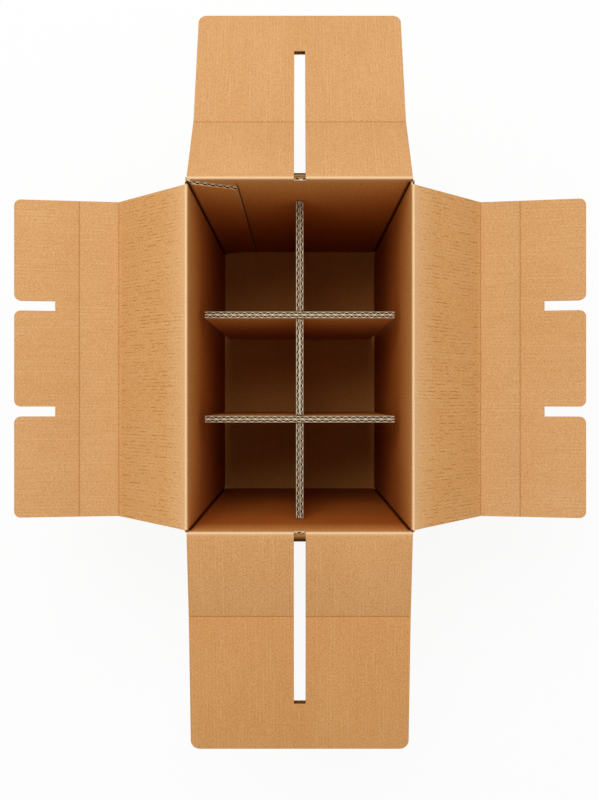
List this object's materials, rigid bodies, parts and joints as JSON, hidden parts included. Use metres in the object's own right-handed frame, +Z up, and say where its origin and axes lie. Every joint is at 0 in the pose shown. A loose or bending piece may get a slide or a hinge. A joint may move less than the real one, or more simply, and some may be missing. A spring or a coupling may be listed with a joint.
{
  "type": "bottle shipping box",
  "caption": "Open corrugated shipping box for bottles, with creased and slotted top flaps folded outwards and a lattice partition that forms the bottle cells.",
  "frame": {"origin": "centre of the underside", "axes": "+Z up, +X to the right of the picture, +Y to the top of the picture, along the box's length"},
  "size_m": [0.5356, 0.6967, 0.3415],
  "materials": {
    "kraft_board": "matte",
    "partition_board": "matte"
  },
  "bodies": {
    "box": {"box_shell": "kraft_board", "left_long_divider": "partition_board", "right_long_divider": "partition_board", "back_cross_divider_outer": "partition_board", "back_cross_divider_inner": "partition_board", "front_cross_divider_inner": "partition_board", "front_cross_divider_outer": "partition_board"},
    "left_lid": {"left_lid_panel": "kraft_board"},
    "right_lid": {"right_lid_panel": "kraft_board"},
    "left_panel": {"left_divider_panel": "kraft_board"},
    "right_panel": {"right_divider_panel": "kraft_board"},
    "back_flap": {"back_end_flap": "kraft_board"},
    "front_flap": {"front_end_flap": "kraft_board"}
  },
  "joints": [
    {"name": "left_flap_fold", "type": "hinge", "parent": "box", "child": "left_lid", "pos_m": [-0.0995, 0, 0.34], "axis": [0, 1, 0], "range_deg": [-14, 203]},
    {"name": "right_flap_fold", "type": "hinge", "parent": "box", "child": "right_lid", "pos_m": [0.0995, 0, 0.34], "axis": [0, -1, 0], "range_deg": [-14, 203]},
    {"name": "back_flap_fold", "type": "hinge", "parent": "box", "child": "back_flap", "pos_m": [0, 0.156, 0.337], "axis": [1, 0, 0], "range_deg": [-20, 124]},
    {"name": "front_flap_fold", "type": "hinge", "parent": "box", "child": "front_flap", "pos_m": [0, -0.156, 0.337], "axis": [-1, 0, 0], "range_deg": [-44, 100]},
    {"name": "left_panel_fold", "type": "hinge", "parent": "left_lid", "child": "left_panel", "pos_m": [-0.17166, 0, 0.27945], "axis": [0, 1, 0], "range_deg": [-4.5, 61]},
    {"name": "right_panel_fold", "type": "hinge", "parent": "right_lid", "child": "right_panel", "pos_m": [0.17166, 0, 0.27945], "axis": [0, -1, 0], "range_deg": [-4.5, 59]}
  ],
  "couplings": [
    {"joint": "left_panel_fold", "follows": "left_flap_fold", "ratio": 0.298},
    {"joint": "right_panel_fold", "follows": "right_flap_fold", "ratio": 0.2882}
  ]
}
